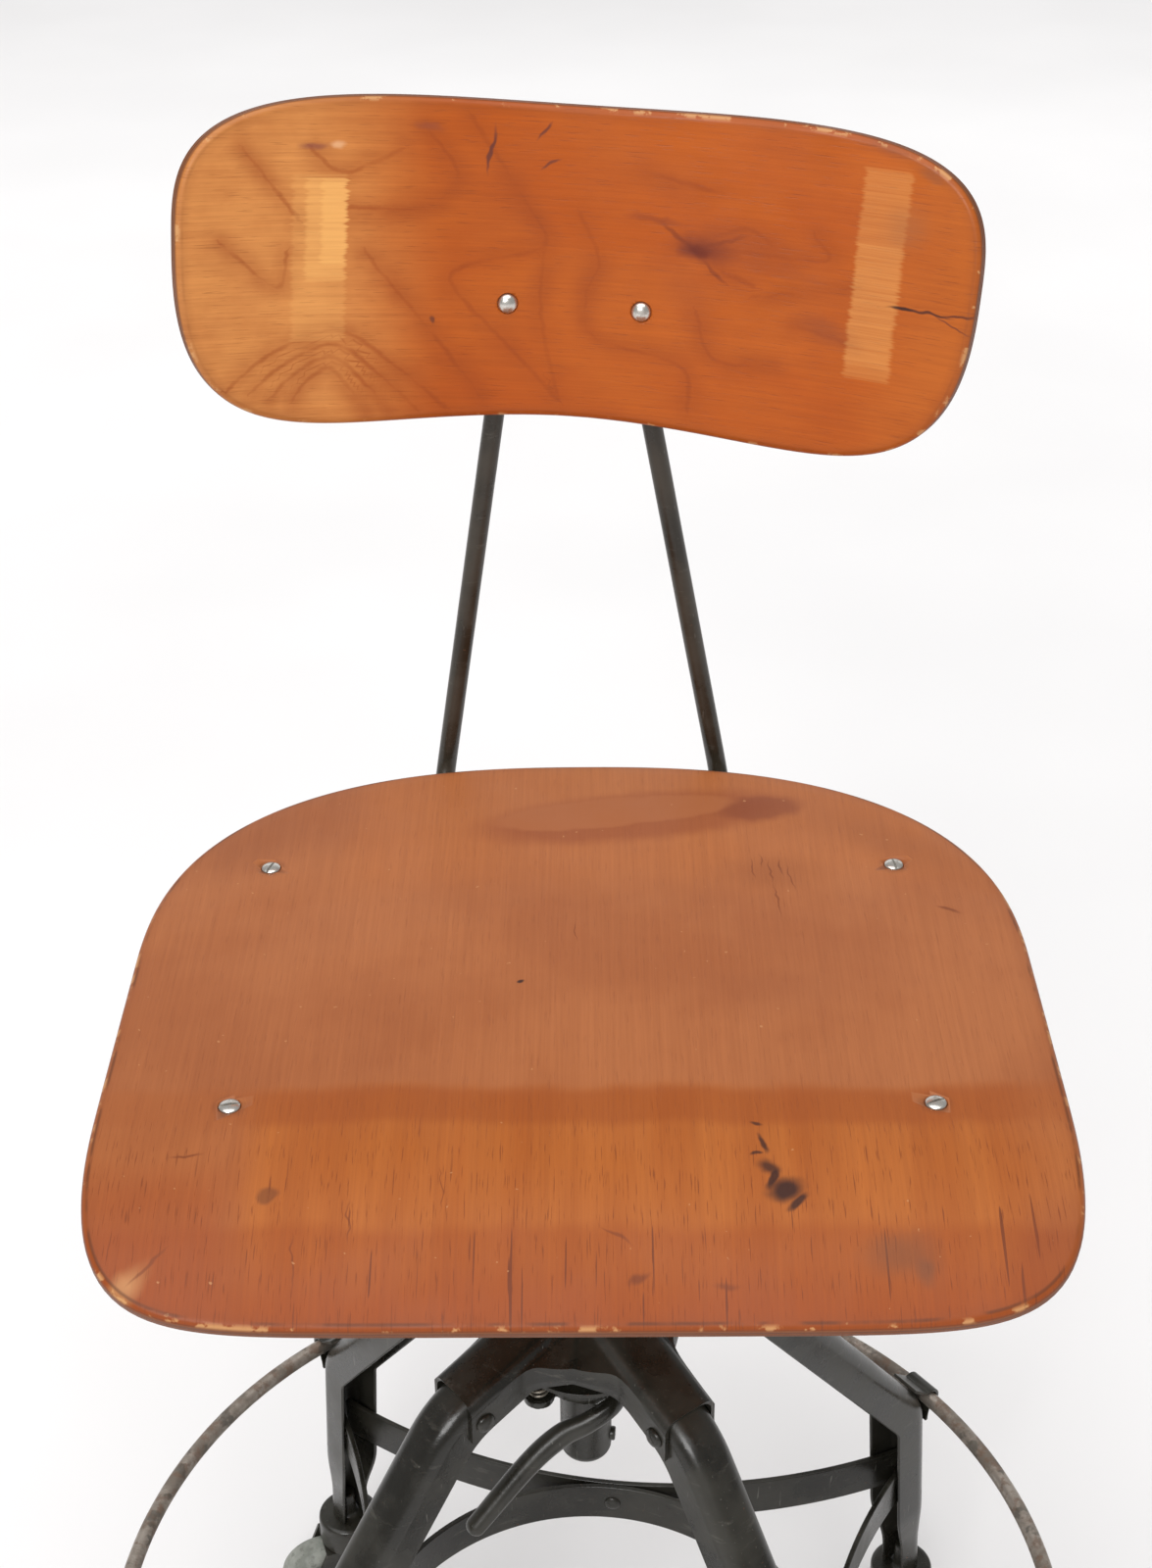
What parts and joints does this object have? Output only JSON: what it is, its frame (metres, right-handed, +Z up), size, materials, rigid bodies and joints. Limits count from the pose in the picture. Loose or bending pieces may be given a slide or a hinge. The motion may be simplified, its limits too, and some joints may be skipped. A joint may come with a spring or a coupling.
{
  "type": "drafting chair",
  "caption": "Drafting chair with bent plywood seat and back on a four-legged steel base with foot ring, lock lever and casters.",
  "frame": {"origin": "floor level on the column's axis", "axes": "+Z up; the seat's front faces -Y; the base stands a little turned about Z"},
  "size_m": [0.4976, 0.4976, 0.9586],
  "materials": {
    "seat_plywood": "worn varnished plywood",
    "back_plywood": "worn varnished plywood",
    "painted_steel": "dark olive grey enamel, half gloss, worn",
    "bare_steel": "dull plated",
    "worn_steel": "paint rubbed through to brown steel",
    "wheel_rubber": "matt, dusty"
  },
  "bodies": {
    "base": {"hub": "painted_steel", "column_guide": "painted_steel", "lever_pin": "bare_steel", "lever_spring": "bare_steel", "leg_rivet_1": "painted_steel", "leg_rivet_2": "painted_steel", "leg_rivet_3": "painted_steel", "leg_rivet_4": "painted_steel", "leg_1": "painted_steel", "leg_2": "painted_steel", "leg_3": "painted_steel", "leg_4": "painted_steel", "foot_ring": "worn_steel", "ring_clip_1": "painted_steel", "ring_clip_2": "painted_steel", "ring_clip_3": "painted_steel", "ring_clip_4": "painted_steel", "brace_strap_1": "painted_steel", "brace_strap_2": "painted_steel", "brace_strap_3": "painted_steel", "brace_strap_4": "painted_steel", "brace_hoop": "painted_steel", "caster_cap_1": "painted_steel", "caster_cap_2": "painted_steel", "caster_cap_3": "painted_steel", "caster_cap_4": "painted_steel"},
    "column": {"column": "painted_steel", "thrust_washer": "bare_steel"},
    "seat": {"seat": "seat_plywood", "seat_screw_1": "bare_steel", "seat_screw_2": "bare_steel", "seat_screw_3": "bare_steel", "seat_screw_4": "bare_steel", "seat_bar_front": "painted_steel", "seat_bar_rear": "painted_steel", "saddle": "painted_steel", "swivel_socket": "painted_steel", "rod_guide_left": "painted_steel", "rod_guide_right": "painted_steel"},
    "back": {"backrest": "back_plywood", "back_rod_left": "painted_steel", "back_rod_right": "painted_steel", "back_screw_left": "bare_steel", "back_screw_right": "bare_steel"},
    "wing_left": {"wing_screw_left": "bare_steel"},
    "wing_right": {"wing_screw_right": "bare_steel"},
    "lever": {"lock_lever": "painted_steel"},
    "caster_1": {"caster_fork_1": "painted_steel", "caster_axle_1": "bare_steel"},
    "wheel_1": {"caster_wheel_1": "wheel_rubber"},
    "caster_2": {"caster_fork_2": "painted_steel", "caster_axle_2": "bare_steel"},
    "wheel_2": {"caster_wheel_2": "wheel_rubber"},
    "caster_3": {"caster_fork_3": "painted_steel", "caster_axle_3": "bare_steel"},
    "wheel_3": {"caster_wheel_3": "wheel_rubber"},
    "caster_4": {"caster_fork_4": "painted_steel", "caster_axle_4": "bare_steel"},
    "wheel_4": {"caster_wheel_4": "wheel_rubber"}
  },
  "joints": [
    {"name": "seat_height", "type": "slide", "parent": "base", "child": "column", "axis": [0, 0, 1], "range_m": [-0.09, 0.032]},
    {"name": "seat_swivel", "type": "hinge", "parent": "column", "child": "seat", "pos_m": [0, 0, 0.6], "axis": [0, 0, 1], "continuous": true},
    {"name": "back_depth", "type": "slide", "parent": "seat", "child": "back", "axis": [0, 1, 0], "range_m": [-0.003, 0.04]},
    {"name": "wing_turn_left", "type": "hinge", "parent": "seat", "child": "wing_left", "pos_m": [-0.0704, 0.055, 0.59275], "axis": [0, 0, 1], "range_deg": [-180, 180]},
    {"name": "wing_turn_right", "type": "hinge", "parent": "seat", "child": "wing_right", "pos_m": [0.0704, 0.055, 0.59275], "axis": [0, 0, 1], "range_deg": [-180, 180]},
    {"name": "lock_release", "type": "hinge", "parent": "base", "child": "lever", "pos_m": [0.02978, -0.0036, 0.3985], "axis": [0.1201, 0.9928, 0], "range_deg": [0, 8], "stiffness_Nm_per_rad": 1.5, "springref_deg": -6.88, "deforming": ["lever_spring"]},
    {"name": "caster_swivel_1", "type": "hinge", "parent": "base", "child": "caster_1", "pos_m": [0.19162, 0.15025, 0.053], "axis": [0, 0, 1], "continuous": true},
    {"name": "wheel_spin_1", "type": "hinge", "parent": "caster_1", "child": "wheel_1", "pos_m": [0.1717, 0.14847, 0.025], "axis": [0.0889, -0.996, 0], "continuous": true},
    {"name": "caster_swivel_2", "type": "hinge", "parent": "base", "child": "caster_2", "pos_m": [-0.15025, 0.19162, 0.053], "axis": [0, 0, 1], "continuous": true},
    {"name": "wheel_spin_2", "type": "hinge", "parent": "caster_2", "child": "wheel_2", "pos_m": [-0.16926, 0.1854, 0.025], "axis": [0.3107, -0.9505, 0], "continuous": true},
    {"name": "caster_swivel_3", "type": "hinge", "parent": "base", "child": "caster_3", "pos_m": [-0.19162, -0.15025, 0.053], "axis": [0, 0, 1], "continuous": true},
    {"name": "wheel_spin_3", "type": "hinge", "parent": "caster_3", "child": "wheel_3", "pos_m": [-0.21054, -0.14377, 0.025], "axis": [-0.3239, -0.9461, 0], "continuous": true},
    {"name": "caster_swivel_4", "type": "hinge", "parent": "base", "child": "caster_4", "pos_m": [0.15025, -0.19162, 0.053], "axis": [0, 0, 1], "continuous": true},
    {"name": "wheel_spin_4", "type": "hinge", "parent": "caster_4", "child": "wheel_4", "pos_m": [0.13049, -0.18852, 0.025], "axis": [-0.1547, -0.988, 0], "continuous": true}
  ]
}
